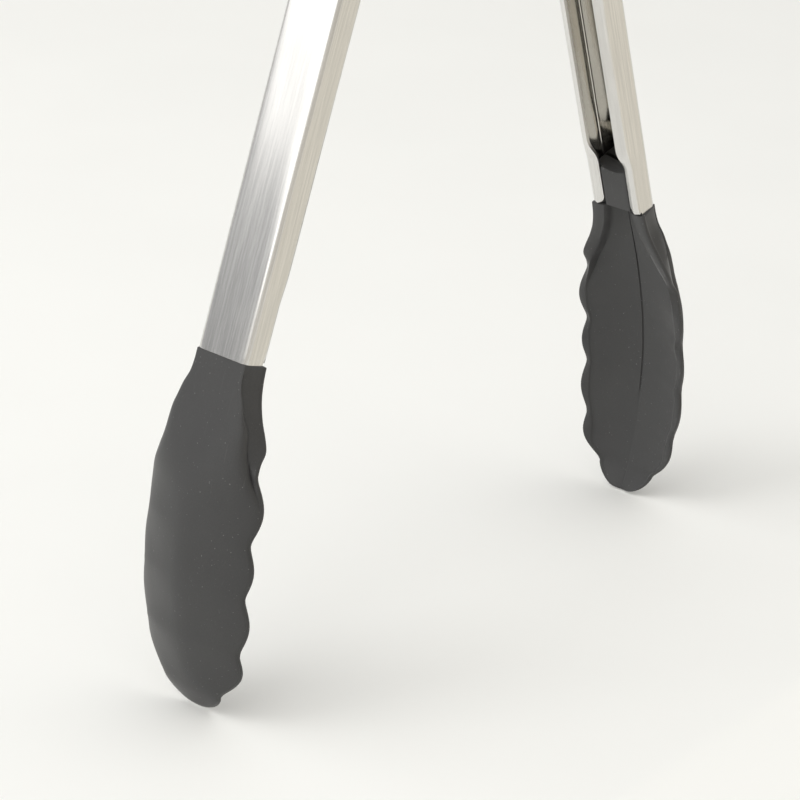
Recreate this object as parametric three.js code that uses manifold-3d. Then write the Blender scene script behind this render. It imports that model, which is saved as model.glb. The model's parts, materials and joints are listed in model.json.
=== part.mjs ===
// Spring loaded kitchen tongs with moulded nylon heads, standing open on their tips.
// Units are millimetres, +Z is up and the arms swing in the XZ plane about a pin along Y.
// Each arm is modelled in its own frame: +X points out of its web, -Z runs down the arm
// from the pin at the origin, and the same stamping turned half round makes the other arm.
import * as THREE from "three";
import { mergeVertices } from "three/addons/utils/BufferGeometryUtils.js";
import Module from "manifold-3d";

const wasm = await Module();
wasm.setup();

// Driving dimensions
const GAP = 0.3;
const OPEN_ANGLE = THREE.MathUtils.degToRad(19.35);
const CLOSED_ANGLE = THREE.MathUtils.degToRad(2.55);

const ARM_WIDTH = 16;
const SHEET = 0.8;
const WEB_OUTSIDE = 12;
const LIP_FOLD = 4.1;
const ARM_TOP = -6.5;
const ARM_END = 211;
const CORNER_RADIUS = 1.1;
const EAR_REACH = 8;
const EAR_RADIUS = 6.5;
const EAR_OFFSET = 1.1;
const LIP_START = 44;
const LIP_FULL = 60;
const LIP_LENGTH = 3.3;
const CRIMP_START = 188;
const CRIMP_FULL = 197;

const PIN_RADIUS = 2;
const PIN_HOLE_RADIUS = 2.3;
const RIVET_HEAD_RADIUS = 3.9;
const RIVET_HEAD_HEIGHT = 1.3;
const WASHER_THICKNESS = 0.8;
const SLEEVE_RADIUS = 3;
const SLEEVE_HALF_LENGTH = 4.7;

const WIRE_RADIUS = 0.75;
const COIL_RADIUS = 4.2;
const COIL_TURNS = 5;
const COIL_HALF_LENGTH = 4;
const SPRING_CONTACT = 60;
const SPRING_END = 70;

const STRAP_OUTSIDE = 5.8;
const STRAP_SHEET = 0.8;
const STRAP_WIDTH = 8;
const STRAP_BOTTOM = -40.5;
const STRAP_SHOULDER = 16;
const LOCK_TRAVEL = 10;
const LOCK_BAR_RADIUS = 1.5;
const LOCK_BAR_DROP = 37;
const LOCK_BAR_HALF_LENGTH = 7.9;
const FINGER_END = 33;
const FINGER_OUTSIDE = -5.8;
const NOTCH_HALF_WIDTH = LOCK_BAR_RADIUS + GAP;

const HEAD_START = ARM_END + GAP;
const TANG_LENGTH = 12.5;
const EDGE_THICKNESS = 2;
const CROWNING = 0.04;

// Distances down the head from the steel's end, half widths, and heights from the head's own plane.
const HEAD_PLANE = 5;
const HEAD_TIP = 88.6;
const TIP_HEIGHT = -18.1;
const NECK = [[0, 8.9], [4, 9.3], [8, 10.2], [12, 11.8], [16, 13.8], [19, 15], [22, 15.2], [24.8, 15.7]];
const NECK_HEIGHT = [[0, 0], [12, 0.1], [19, -0.1], [24.8, 1.3]];
const VALLEYS = [[24.8, 15.7, 1.3], [41.8, 16.7, -1.4], [55.2, 16.6, -4.7], [69.7, 15.4, -9.8], [83.1, 8.9, -14.8]];
// How much wider and lower the edge is in the middle of each scallop than between its valleys.
const SCALLOPS = [[1.6, 1.7], [1.1, 0.9], [1.5, 0.8], [2.7, 0.9]];
const CROWN = [[0, 7], [12, 7], [24.6, 7.1], [36, 6.4], [44, 5.2], [51.4, 3.5], [58, 1.3], [65, -1.5],
  [72, -4.4], [83.1, -11.5], [88.6, -16.3]];
const DISH = [[0, 4.6], [6, 4.7], [18, 5.1], [27, 4.9], [36, 4.2], [44, 3], [51.4, 1.3], [58, -0.9],
  [65, -3.7], [72, -6.7], [83.1, -13.4], [88.6, -17.6]];
// Where the dish's steep flank starts, as a share of the half width.
const CREST = [[0, 0.53], [6.5, 0.6], [12, 0.66], [17.4, 0.7], [21, 0.8], [24.6, 0.91], [88.6, 0.91]];

// Shared helpers

// Read a table of [place, value] points, following a smooth cubic between them.
function interpolate(table, at) {
  const end = Math.max(1, table.findIndex(([place]) => place >= at));
  const start = end - 1;
  const slope = (i) => {
    const [before, after] = [table[Math.max(0, i - 1)], table[Math.min(table.length - 1, i + 1)]];
    return (after[1] - before[1]) / (after[0] - before[0]);
  };
  const length = table[end][0] - table[start][0];
  const x = (at - table[start][0]) / length;
  const curve = x * (1 - x) * length * ((1 - x) * slope(start) - x * slope(end));
  return THREE.MathUtils.lerp(table[start][1], table[end][1], x * x * (3 - 2 * x)) + curve;
}

// Loft through closed outlines of [outward, across] points, one for each distance down the arm.
function loft(stations, outlineAt) {
  const rings = stations.map(outlineAt);
  const count = rings[0].length;
  const positions = rings.flatMap((ring, i) => ring.flatMap(([m, y]) => [m, y, -stations[i]]));
  const triangles = [];
  const addCap = (ring, reversed) => {
    const contour = rings[ring].map(([m, y]) => new THREE.Vector2(m, y));
    for (const face of THREE.ShapeUtils.triangulateShape(contour, [])) {
      const ordered = reversed ? [face[2], face[1], face[0]] : face;
      triangles.push(...ordered.map((point) => ring * count + point));
    }
  };
  addCap(0, false);
  for (let i = 0; i < rings.length - 1; i += 1) {
    for (let j = 0; j < count; j += 1) {
      const next = (j + 1) % count;
      const [a, b] = [i * count + j, (i + 1) * count + j];
      const [c, d] = [(i + 1) * count + next, i * count + next];
      triangles.push(a, b, c, a, c, d);
    }
  }
  addCap(rings.length - 1, true);
  const geometry = new THREE.BufferGeometry();
  geometry.setAttribute("position", new THREE.Float32BufferAttribute(positions, 3));
  geometry.setIndex(triangles);
  return geometry;
}

function toSolid(geometry) {
  const bare = geometry.clone();
  bare.deleteAttribute("normal");
  bare.deleteAttribute("uv");
  const merged = mergeVertices(bare, 1e-4);
  return new wasm.Manifold(new wasm.Mesh({
    numProp: 3,
    vertProperties: merged.attributes.position.array,
    triVerts: new Uint32Array(merged.index.array),
  }));
}

function toGeometry(solid) {
  const mesh = solid.getMesh();
  const geometry = new THREE.BufferGeometry();
  geometry.setAttribute("position", new THREE.Float32BufferAttribute(mesh.vertProperties, 3));
  geometry.setIndex(new THREE.Uint32BufferAttribute(mesh.triVerts, 1));
  geometry.computeVertexNormals();
  return geometry;
}

// A flat shape drawn in X and Z, given thickness along Y.
function slabAcross(shape, from, to) {
  const geometry = new THREE.ExtrudeGeometry(shape, { depth: to - from, bevelEnabled: false, curveSegments: 8 });
  return geometry.rotateX(Math.PI / 2).translate(0, to, 0);
}

function rodAcross(radius, from, to, sides = 24) {
  return new THREE.CylinderGeometry(radius, radius, to - from, sides).translate(0, (from + to) / 2, 0);
}

function ringAcross(inside, outside, from, to, sides = 24) {
  return toSolid(rodAcross(outside, from, to, sides)).subtract(toSolid(rodAcross(inside, from - 1, to + 1, sides)));
}

function steps(from, to, count) {
  return Array.from({ length: count + 1 }, (_, i) => THREE.MathUtils.lerp(from, to, i / count));
}

// Replace the corner of a path with an arc of the given radius.
function roundCorner(before, corner, after, radius, segments) {
  const [p, q, r] = [before, corner, after].map(([m, y]) => new THREE.Vector2(m, y));
  const toBefore = p.clone().sub(q).normalize();
  const toAfter = r.clone().sub(q).normalize();
  const half = Math.acos(THREE.MathUtils.clamp(toBefore.dot(toAfter), -1, 1)) / 2;
  const trim = radius / Math.tan(half);
  const start = q.clone().addScaledVector(toBefore, trim);
  const end = q.clone().addScaledVector(toAfter, trim);
  return steps(0, 1, segments).map((x) => {
    const first = start.clone().lerp(q, x);
    const second = q.clone().lerp(end, x);
    return first.lerp(second, x).toArray();
  });
}

// Give a path of sheet-metal mid points its thickness.
function thicken(path) {
  const points = path.map(([m, y]) => new THREE.Vector2(m, y));
  const side = (offset) => points.map((point, i) => {
    const along = points[Math.min(i + 1, points.length - 1)].clone().sub(points[Math.max(i - 1, 0)]).normalize();
    return [point.x + along.y * offset, point.y - along.x * offset];
  });
  return [...side(SHEET / 2), ...side(-SHEET / 2).reverse()];
}

// Stainless steel arm

// Half of the folded section, from the middle of the web to the free edge of the lip.
function armHalfPath(t, earOffset) {
  const web = WEB_OUTSIDE - SHEET / 2;
  const wall = (ARM_WIDTH - SHEET) / 2;
  const fold = LIP_FOLD + SHEET / 2;
  const folding = THREE.MathUtils.smoothstep(t, LIP_START, LIP_FULL);
  const crimping = THREE.MathUtils.smoothstep(t, CRIMP_START, CRIMP_FULL);
  const bend = THREE.MathUtils.degToRad(1 + 64 * folding + 51 * crimping);
  const lip = t < LIP_START - 2 ? fold + EAR_REACH : LIP_LENGTH - 0.1 * crimping;
  const joggle = earOffset * (1 - THREE.MathUtils.smoothstep(t, 36, LIP_START - 1));
  const edge = [fold - lip * Math.cos(bend), wall - joggle - lip * Math.sin(bend)];
  return [
    ...roundCorner([web, 0], [web, wall], [fold, wall], CORNER_RADIUS, 3),
    [9.2, wall],
    [7.6, wall - joggle],
    ...roundCorner([web, wall - joggle], [fold, wall - joggle], edge, 1, 3),
    edge,
  ];
}

function armOutline(t) {
  const outerEar = armHalfPath(t, 0);
  const innerEar = armHalfPath(t, EAR_OFFSET).map(([m, y]) => [m, -y]);
  return thicken([...innerEar.reverse(), ...outerEar]);
}

// What is trimmed off the ears: the round top, the locking finger and the notch beside it.
function earTrimShape() {
  const notchSide = (t, side) => -t * Math.tan(CLOSED_ANGLE) + side * NOTCH_HALF_WIDTH;
  const notchTop = LOCK_BAR_DROP - LOCK_TRAVEL;
  const far = -EAR_REACH - 6;
  const shape = new THREE.Shape();
  shape.moveTo(far, 10);
  shape.lineTo(0, 10);
  shape.lineTo(0, EAR_RADIUS);
  shape.absarc(0, 0, EAR_RADIUS, Math.PI / 2, Math.PI, false);
  shape.lineTo(FINGER_OUTSIDE, -FINGER_END + 1);
  shape.lineTo(FINGER_OUTSIDE + 1, -FINGER_END);
  shape.lineTo(notchSide(FINGER_END, -1), -FINGER_END);
  shape.lineTo(notchSide(notchTop, -1), -notchTop);
  shape.absarc(notchSide(notchTop, 0), -notchTop, NOTCH_HALF_WIDTH, Math.PI, 0, true);
  shape.lineTo(LIP_FOLD + SHEET / 2 - LIP_LENGTH, -LIP_START + 1);
  shape.lineTo(far, -LIP_START + 1);
  return shape;
}

function armSolid() {
  const stations = [ARM_TOP, 30, ...steps(36, LIP_START - 1, 4), ...steps(LIP_START, LIP_FULL, 5),
    ...steps(CRIMP_START, CRIMP_FULL, 6), ARM_END];
  const folded = toSolid(loft(stations, armOutline));
  const trim = toSolid(slabAcross(earTrimShape(), -ARM_WIDTH, ARM_WIDTH));
  const pinHole = toSolid(rodAcross(PIN_HOLE_RADIUS, -ARM_WIDTH, ARM_WIDTH));
  return folded.subtract(trim).subtract(pinHole);
}

// Moulded head

// Half width and height of the blade's edge.
function headEdge(t) {
  const tipStart = VALLEYS[VALLEYS.length - 1];
  if (t <= VALLEYS[0][0]) {
    return [interpolate(NECK, t), interpolate(NECK_HEIGHT, t)];
  }
  if (t >= tipStart[0]) {
    const x = (t - tipStart[0]) / (HEAD_TIP - tipStart[0]);
    return [tipStart[1] * Math.sqrt(Math.max(0, 1 - x * x)), THREE.MathUtils.lerp(tipStart[2], TIP_HEIGHT, x)];
  }
  const index = VALLEYS.findIndex((valley) => valley[0] > t) - 1;
  const [start, end] = [VALLEYS[index], VALLEYS[index + 1]];
  const x = (t - start[0]) / (end[0] - start[0]);
  const [wider, lower] = SCALLOPS[index].map((value) => value * 4 * x * (1 - x));
  return [THREE.MathUtils.lerp(start[1], end[1], x) + wider, THREE.MathUtils.lerp(start[2], end[2], x) - lower];
}

function headOutline(distance) {
  const t = distance - HEAD_START;
  const [half, height] = headEdge(t);
  const rim = HEAD_PLANE + height;
  const [crown, dish] = [CROWN, DISH].map((table) => HEAD_PLANE + interpolate(table, t));
  const edge = Math.min(rim + EDGE_THICKNESS, (rim + 2 * crown) / 3);
  const power = THREE.MathUtils.lerp(7, 1.9, THREE.MathUtils.smoothstep(t, 0, 42));
  const outer = steps(-1, 1, 14).map((x) => {
    const across = Math.sin(x * Math.PI / 2);
    const lift = (1 - Math.abs(across) ** power) ** (1 / power) - CROWNING * across ** 2;
    return [edge + (crown - edge) * lift, half * across];
  });
  const crest = interpolate(CREST, t);
  const foot = crest - 1 / 9;
  const wall = THREE.MathUtils.lerp(0.66, 0.1, THREE.MathUtils.smoothstep(t, 2, 24));
  const bevel = THREE.MathUtils.lerp(0.2, 0.08, crest);
  const depth = (share) => rim + (dish - rim) * share;
  const side = [[0.98, 0.16], [0.94, 0.02], [crest, bevel], [foot, wall], [foot / 2, (1 + wall) / 2 + 0.03]];
  const inner = [...side, [0, 1], ...side.map(([x, share]) => [-x, share]).reverse()];
  return [...outer, ...inner.map(([x, share]) => [depth(share), half * x])];
}

// The tang fills the channel behind the lips, with a key that shows in the slot between them.
function tangOutline() {
  const inside = ARM_WIDTH / 2 - SHEET - GAP;
  const back = WEB_OUTSIDE - SHEET - GAP;
  const half = [[back, inside - 0.7], [back - 0.7, inside], [5.7, inside], [6.65, 4.9], [6.65, 4.2], [5.6, 4.2]];
  return [...half, ...half.map(([m, y]) => [m, -y]).reverse()];
}

function headSolid() {
  const bounds = [0, ...VALLEYS.map((valley) => valley[0])];
  const blade = bounds.slice(0, -1).flatMap((start, i) => steps(start, bounds[i + 1], 6).slice(0, -1));
  const tip = steps(0, 1, 6).map((x) => THREE.MathUtils.lerp(bounds.at(-1), HEAD_TIP - 0.05, Math.sin(x * 1.45)));
  const stations = [...blade, ...tip].map((t) => HEAD_START + t);
  const tang = loft([ARM_END - TANG_LENGTH, HEAD_START + 1], tangOutline);
  return toSolid(loft(stations, headOutline)).add(toSolid(tang));
}

// Pivot and spring

// The rivet's shank, its domed head and the spread tail that holds the washer.
function rivetGeometry() {
  const face = ARM_WIDTH / 2 + GAP;
  const tail = face + WASHER_THICKNESS + GAP;
  const dome = steps(0, 1, 5).map((x) => new THREE.Vector2(
    RIVET_HEAD_RADIUS * Math.sin(x * Math.PI / 2),
    -face - RIVET_HEAD_HEIGHT * (0.35 + 0.65 * Math.cos(x * Math.PI / 2)),
  ));
  const profile = [...dome, [RIVET_HEAD_RADIUS, -face], [PIN_RADIUS, -face], [PIN_RADIUS, tail],
    [3, tail], [2.8, tail + 0.7], [0, tail + 0.9]];
  return new THREE.LatheGeometry(profile.map((point) => (point.isVector2 ? point : new THREE.Vector2(...point))), 24);
}

function washerSolid() {
  const face = ARM_WIDTH / 2 + GAP;
  return ringAcross(PIN_RADIUS + GAP, RIVET_HEAD_RADIUS + 0.4, face, face + WASHER_THICKNESS);
}

// A leg touches the coil where it leaves it, runs straight to the inside of the web and lies along it.
function springLeg() {
  const out = WEB_OUTSIDE - SHEET - GAP - WIRE_RADIUS;
  const contact = new THREE.Vector2(out, -SPRING_CONTACT).rotateAround(new THREE.Vector2(), OPEN_ANGLE);
  const end = new THREE.Vector2(out, -SPRING_END).rotateAround(new THREE.Vector2(), OPEN_ANGLE);
  const leaving = contact.angle() + Math.acos(COIL_RADIUS / contact.length());
  return { contact, end, leaving };
}

function springGeometry() {
  const { contact, end, leaving } = springLeg();
  const leg = (side) => {
    const start = new THREE.Vector2(COIL_RADIUS * Math.cos(leaving), COIL_RADIUS * Math.sin(leaving));
    const straight = [0.12, 0.4, 0.7, 0.93].map((x) => start.clone().lerp(contact, x));
    const route = [...straight, contact.clone().lerp(end, 0.3), end];
    return route.map((p) => new THREE.Vector3(side * p.x, side * COIL_HALF_LENGTH, p.y));
  };
  const sweep = 2 * Math.PI * COIL_TURNS + Math.PI - 2 * (leaving - 2 * Math.PI);
  const coil = steps(0, 1, 16 * COIL_TURNS).map((x) => {
    const angle = Math.PI - (leaving - 2 * Math.PI) - x * sweep;
    const across = THREE.MathUtils.lerp(-COIL_HALF_LENGTH, COIL_HALF_LENGTH, x);
    return new THREE.Vector3(COIL_RADIUS * Math.cos(angle), across, COIL_RADIUS * Math.sin(angle));
  });
  const path = new THREE.CatmullRomCurve3([...leg(-1).reverse(), ...coil, ...leg(1)], false, "centripetal");
  const wire = new THREE.Shape(steps(0, 2 * Math.PI, 6).slice(0, -1).map((angle) => new THREE.Vector2(
    WIRE_RADIUS * Math.cos(angle),
    WIRE_RADIUS * Math.sin(angle),
  )));
  return new THREE.ExtrudeGeometry(wire, { steps: 150, extrudePath: path, bevelEnabled: false });
}

// Pull strap and lock bar

function strapSolid() {
  const inside = STRAP_OUTSIDE - STRAP_SHEET;
  const outline = new THREE.Shape();
  outline.moveTo(-STRAP_OUTSIDE, STRAP_BOTTOM);
  outline.lineTo(-inside, STRAP_BOTTOM);
  outline.lineTo(-inside, STRAP_SHOULDER);
  outline.absarc(0, STRAP_SHOULDER, inside, Math.PI, 0, true);
  outline.lineTo(inside, STRAP_BOTTOM);
  outline.lineTo(STRAP_OUTSIDE, STRAP_BOTTOM);
  outline.lineTo(STRAP_OUTSIDE, STRAP_SHOULDER);
  outline.absarc(0, STRAP_SHOULDER, STRAP_OUTSIDE, 0, Math.PI, false);
  const strip = new THREE.ExtrudeGeometry(outline, { depth: STRAP_WIDTH, bevelEnabled: false, curveSegments: 12 });
  strip.rotateX(Math.PI / 2).rotateZ(Math.PI / 2).translate(-STRAP_WIDTH / 2, 0, 0);
  const slot = new THREE.Shape();
  const halfSlot = PIN_RADIUS + GAP;
  slot.absarc(0, 0, halfSlot, 0, Math.PI, false);
  slot.absarc(0, -LOCK_TRAVEL, halfSlot, Math.PI, 2 * Math.PI, false);
  const barHole = rodAcross(LOCK_BAR_RADIUS + GAP, -ARM_WIDTH, ARM_WIDTH).translate(0, 0, -LOCK_BAR_DROP);
  return toSolid(strip).subtract(toSolid(slabAcross(slot, -ARM_WIDTH, ARM_WIDTH))).subtract(toSolid(barHole));
}

// Materials and assembly

const steel = () => new THREE.MeshStandardMaterial({ color: 0xc9c6c0, metalness: 1, roughness: 0.3 });
const nylon = () => new THREE.MeshStandardMaterial({ color: 0x3c3d3e, metalness: 0, roughness: 0.55 });
const springSteel = () => new THREE.MeshStandardMaterial({ color: 0xa8a6a2, metalness: 1, roughness: 0.35 });

function piece(name, geometry, material) {
  const mesh = new THREE.Mesh(geometry, material);
  mesh.name = name;
  return mesh;
}

const tongs = new THREE.Group();

const armGeometry = toGeometry(armSolid());
const headGeometry = toGeometry(headSolid());
for (const [label, turn] of [["left", Math.PI], ["right", 0]]) {
  const arm = new THREE.Group();
  arm.rotation.set(0, turn ? OPEN_ANGLE : -OPEN_ANGLE, turn);
  arm.add(piece(`${label}_arm`, armGeometry, steel()));
  arm.add(piece(`${label}_head`, headGeometry, nylon()));
  tongs.add(arm);
}

tongs.add(piece("pivot_rivet", rivetGeometry(), steel()));
tongs.add(piece("rivet_washer", toGeometry(washerSolid()), steel()));
const sleeve = ringAcross(PIN_RADIUS + GAP, SLEEVE_RADIUS, -SLEEVE_HALF_LENGTH, SLEEVE_HALF_LENGTH);
tongs.add(piece("spring_sleeve", toGeometry(sleeve), steel()));
tongs.add(piece("torsion_spring", springGeometry(), springSteel()));
tongs.add(piece("pull_strap", toGeometry(strapSolid()), steel()));
const lockBar = rodAcross(LOCK_BAR_RADIUS, -LOCK_BAR_HALF_LENGTH, LOCK_BAR_HALF_LENGTH);
tongs.add(piece("lock_bar", lockBar.translate(0, 0, -LOCK_BAR_DROP), steel()));

// Stand the tips on the plane Z = 0.
tongs.updateMatrixWorld(true);
tongs.position.z = -new THREE.Box3().setFromObject(tongs, true).min.z;

export default tongs;
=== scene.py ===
"""Spring loaded kitchen tongs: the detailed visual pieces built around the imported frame.

Shapes are written in millimetres in the frame of the piece they belong to, and scaled to metres
when their mesh is made. In an arm's own frame +X points out of its web, -Z runs down the arm
from the pin, and "down" and "out" below are distances along those two directions.
"""

import json
import math

import bmesh
import bpy
from mathutils import Matrix, Vector
from mathutils.geometry import delaunay_2d_cdt


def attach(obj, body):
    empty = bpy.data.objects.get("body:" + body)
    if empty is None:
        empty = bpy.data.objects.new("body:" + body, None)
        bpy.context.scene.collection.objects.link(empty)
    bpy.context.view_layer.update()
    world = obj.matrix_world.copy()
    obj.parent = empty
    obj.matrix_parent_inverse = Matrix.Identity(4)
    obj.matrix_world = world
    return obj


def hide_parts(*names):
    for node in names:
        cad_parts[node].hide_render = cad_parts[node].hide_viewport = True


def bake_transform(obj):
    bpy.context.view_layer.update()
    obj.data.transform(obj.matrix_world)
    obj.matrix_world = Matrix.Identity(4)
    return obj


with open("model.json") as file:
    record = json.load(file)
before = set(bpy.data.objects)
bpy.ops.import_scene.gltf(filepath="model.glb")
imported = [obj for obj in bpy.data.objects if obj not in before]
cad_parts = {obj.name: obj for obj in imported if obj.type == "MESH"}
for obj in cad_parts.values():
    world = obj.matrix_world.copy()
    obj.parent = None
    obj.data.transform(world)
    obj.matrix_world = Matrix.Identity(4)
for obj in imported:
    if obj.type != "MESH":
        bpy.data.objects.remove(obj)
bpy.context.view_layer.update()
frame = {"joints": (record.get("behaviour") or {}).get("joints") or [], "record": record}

MM = 0.001
RECORD = frame["record"]
MOUNTS = {mount["name"]: mount for mount in RECORD["mounts"]}
PIN = Vector(next(joint["pos_m"] for joint in frame["joints"] if joint["name"] == "left_hinge"))
WEB_AXIS = MOUNTS["right_web_face"]["axis"]
OPEN_ANGLE = math.atan2(WEB_AXIS[2], WEB_AXIS[0])
CLOSED_ANGLE = math.radians(2.55)

# Folded arm: sheet middle surface, in millimetres.
SHEET = 0.8
WEB_OUT = 11.6
WALL_ACROSS = 7.6
FOLD_OUT = 4.5
BEND_RADIUS = 1.1
LIP_BEND_LENGTH = 1.7
LIP_LENGTH = 3.3
ARM_TOP = -6.5
ARM_END = 211.2
EAR_RADIUS = 6.5
EAR_OFFSET = 1.1
PIN_HOLE_RADIUS = 2.2
LIP_START = 44.0
LIP_FULL = 60.0
CRIMP_START = 188.0
CRIMP_FULL = 197.0
FINGER_END = 33.0
FINGER_OUT = -5.8
NOTCH_TOP = 27.0
NOTCH_HALF = 1.8
LIP_CORNER = 2.0
POINT_SPACING = 0.45

# Moulded head. Its tables start with a distance down the head from the steel's end, and give half
# widths across it and heights out from the plane of the steel's lips.
HEAD_START = 211.3
LIP_PLANE = 5.0
HEAD_TIP = 88.5
TANG_LENGTH = 13.2
FLANGE = 1.1
STEP = 0.55
SOFT_VALLEY = 0.3
TIP_FULLNESS = 1.45
TIP_ROUNDING = 1.1
SEAM_DEPTH = 0.34
GROOVE_DEPTH = 0.22
BLADE_START = 20.0
BLADE_END = 83.0
# The edge's half width and height along the neck.
NECK = [(0, 8.9), (4, 9.3), (8, 10.2), (12, 11.8), (16, 13.8), (19, 15), (22, 15), (24.8, 15.7)]
NECK_RIM = [(0, 0), (12, 0.1), (19, -0.3), (24.8, 1.2)]
# The edge's half width and height in each valley, and how much wider and lower each scallop is.
VALLEYS = [(24.8, 15.7, 1.2), (41.8, 16.6, -1.7), (55.2, 16.6, -4.8), (69.7, 15.4, -9.8),
           (83.1, 9.4, -14.4)]
SCALLOPS = [(1.8, 1.4), (1.2, 0.8), (1.5, 0.8), (2.6, 1.2)]
# Heights along the middle of the dish and of the crown behind it.
DISH = [(0, 4.6), (6, 4.7), (18, 5.1), (27, 4.9), (36, 4.2), (44, 3), (51.4, 1.3), (58, -0.9), (65, -3.7),
        (72, -6.7), (83.1, -13.4), (88.6, -17.6)]
CROWN = [(0, 7), (12, 7), (24.6, 7.1), (36, 6.4), (44, 5.2), (51.4, 3.5), (58, 1.3), (65, -1.6),
         (72, -4.6), (83.1, -11.5), (88.6, -16.6)]
# The crest between the dish's steep flank and the flat edge.
CREST_ACROSS = [(0, 4.8), (6.5, 6), (12, 8.2), (17.4, 10.8), (21, 12.9), (24.8, 14.1), (32, 15.5),
                (40, 15.6), (47, 15.8), (54, 15.3), (60, 15.2), (67, 14.8), (73, 13.1), (78, 12.5),
                (83, 8.4)]
CREST_OUT = [(0, 0.3), (12, 0.7), (19, 0.6), (24.8, 0.1), (32, -1.4), (42, -2.1), (48, -3.3), (55.4, -5.1),
             (62, -7.2), (70, -9.9), (75, -11.8), (83, -15.3)]
# The crease where the rounded body meets the edge from behind.
BODY_ACROSS = [(0, 7.9), (3, 7.9), (6, 8.4), (9, 9.7), (12, 10.7), (15, 11.9), (18, 12.4), (21, 12.9),
               (24, 13.7), (27, 14.5), (31, 15.3), (35, 15.6), (42, 15.8)]
BODY_OUT = [(0, 6.5), (3, 6.6), (6, 6.4), (9, 6.1), (12, 5.6), (15, 4.4), (18, 4), (21, 3.5), (24, 2.7),
            (27, 2.1), (31, 1.7), (35, 0.8), (42, -0.6)]
# The body's section, from 7 for a flat back with round corners to 1.4 for a pointed dome.
ROUNDING = [(0, 7), (15, 4.8), (30, 2), (42, 1.4), (60, 1.4), (76, 1.5), (88.6, 1.9)]
TIP_OUT = -18.3

# Pivot, spring and lock.
PIN_RADIUS = 2.0
FACE = 8.3
WASHER = 0.8
WIRE_RADIUS = 0.75
COIL_RADIUS = 4.2
COIL_TURNS = 5
COIL_HALF = 4.0
SPRING_OUT = 10.15
SPRING_CONTACT = 60.0
SPRING_END = 70.0
SLEEVE_RADIUS = 3.0
SLEEVE_HALF = 4.7
BORE_GAP = 0.3
STRAP_MIDDLE = 5.4
STRAP_WIDTH = 8.0
STRAP_BOTTOM = -40.5
STRAP_SHOULDER = 16.0
LOCK_TRAVEL = 10.0
LOCK_BAR_DROP = 37.0
LOCK_BAR_RADIUS = 1.5
LOCK_BAR_HALF = 7.9

# Camera, as angles round the tongs.
CAMERA_AZIMUTH = math.radians(-50.28)
CAMERA_ELEVATION = math.radians(23.84)
CAMERA_ROLL = math.radians(2.63)
CAMERA_DISTANCE = 0.7
CAMERA_AIM = PIN + Vector((-0.0293, -0.0121, -0.2188))
CAMERA_LENS = 126.4


# Shared helpers

def lerp(a, b, x):
    return a + (b - a) * x


def smoothstep(x, start, end):
    x = min(1.0, max(0.0, (x - start) / (end - start)))
    return x * x * (3 - 2 * x)


def steps(start, end, count):
    return [lerp(start, end, i / count) for i in range(count + 1)]


def interpolate(table, at):
    """Read a table of (place, value) points, following a smooth cubic between them."""
    end = next((i for i, (place, _) in enumerate(table) if place >= at and i > 0), len(table) - 1)

    def slope(i):
        before, after = table[max(0, i - 1)], table[min(len(table) - 1, i + 1)]
        return (after[1] - before[1]) / (after[0] - before[0])

    (x0, y0), (x1, y1) = table[end - 1], table[end]
    x = min(1.0, (at - x0) / (x1 - x0))
    curve = x * (1 - x) * (x1 - x0) * ((1 - x) * slope(end - 1) - x * slope(end))
    return lerp(y0, y1, x * x * (3 - 2 * x)) + curve


def arm_frame(side):
    """An arm's own frame: side is -1 for the left arm and 1 for the right arm."""
    half_turn = Matrix.Rotation(math.pi if side < 0 else 0, 4, "Z")
    return Matrix.Translation(PIN) @ Matrix.Rotation(-side * OPEN_ANGLE, 4, "Y") @ half_turn


def new_mesh(name, points, faces, materials, smooth_angle=35):
    """A mesh from points in millimetres, shaded smooth except across sharp edges."""
    mesh = bpy.data.meshes.new(name)
    mesh.from_pydata([Vector(point) * MM for point in points], [], faces)
    for material in materials:
        mesh.materials.append(material)
    tidy_mesh(mesh)
    shade(mesh, smooth_angle)
    return mesh


def new_object(name, mesh):
    piece = bpy.data.objects.new(name, mesh)
    bpy.context.scene.collection.objects.link(piece)
    return piece


def tidy_mesh(mesh):
    """Join doubled points, drop empty faces and turn every face outwards."""
    bm = bmesh.new()
    bm.from_mesh(mesh)
    bmesh.ops.remove_doubles(bm, verts=bm.verts, dist=1e-6)
    bmesh.ops.dissolve_degenerate(bm, edges=bm.edges, dist=1e-7)
    bmesh.ops.recalc_face_normals(bm, faces=bm.faces)
    bm.to_mesh(mesh)
    bm.free()


def shade(mesh, smooth_angle):
    mesh.shade_smooth()
    mesh.set_sharp_from_angle(angle=math.radians(smooth_angle))


def place_piece(name, mesh, matrix):
    """Move a mesh into place, keeping its own coordinates and grain direction for its material."""
    place = mesh.attributes.new("place", "FLOAT_VECTOR", "POINT")
    for vertex, item in zip(mesh.vertices, place.data):
        item.vector = vertex.co
    grain = mesh.uv_layers.new(name="grain")
    for loop, item in zip(mesh.loops, grain.data):
        x, y, z = mesh.vertices[loop.vertex_index].co
        item.uv = ((x + y) * 10, z * 10)
    mesh.transform(matrix)
    return new_object(name, mesh)


def thicken_sheet(mesh, thickness, edge_rounding, segments, inside_material=0, edge_material=0):
    """Give a middle surface its sheet thickness, with slightly rounded cut edges."""
    piece = new_object("sheet", mesh)
    sheet = piece.modifiers.new("sheet", "SOLIDIFY")
    sheet.thickness = thickness * MM
    sheet.offset = 0
    sheet.use_even_offset = True
    sheet.material_offset = inside_material
    sheet.material_offset_rim = edge_material
    bevel = piece.modifiers.new("rounded_edges", "BEVEL")
    bevel.width = edge_rounding * MM
    bevel.segments = segments
    bevel.limit_method = "ANGLE"
    bevel.angle_limit = math.radians(50)
    bevel.harden_normals = True
    graph = bpy.context.evaluated_depsgraph_get()
    solid = bpy.data.meshes.new_from_object(piece.evaluated_get(graph), depsgraph=graph)
    bpy.data.objects.remove(piece)
    return solid


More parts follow.
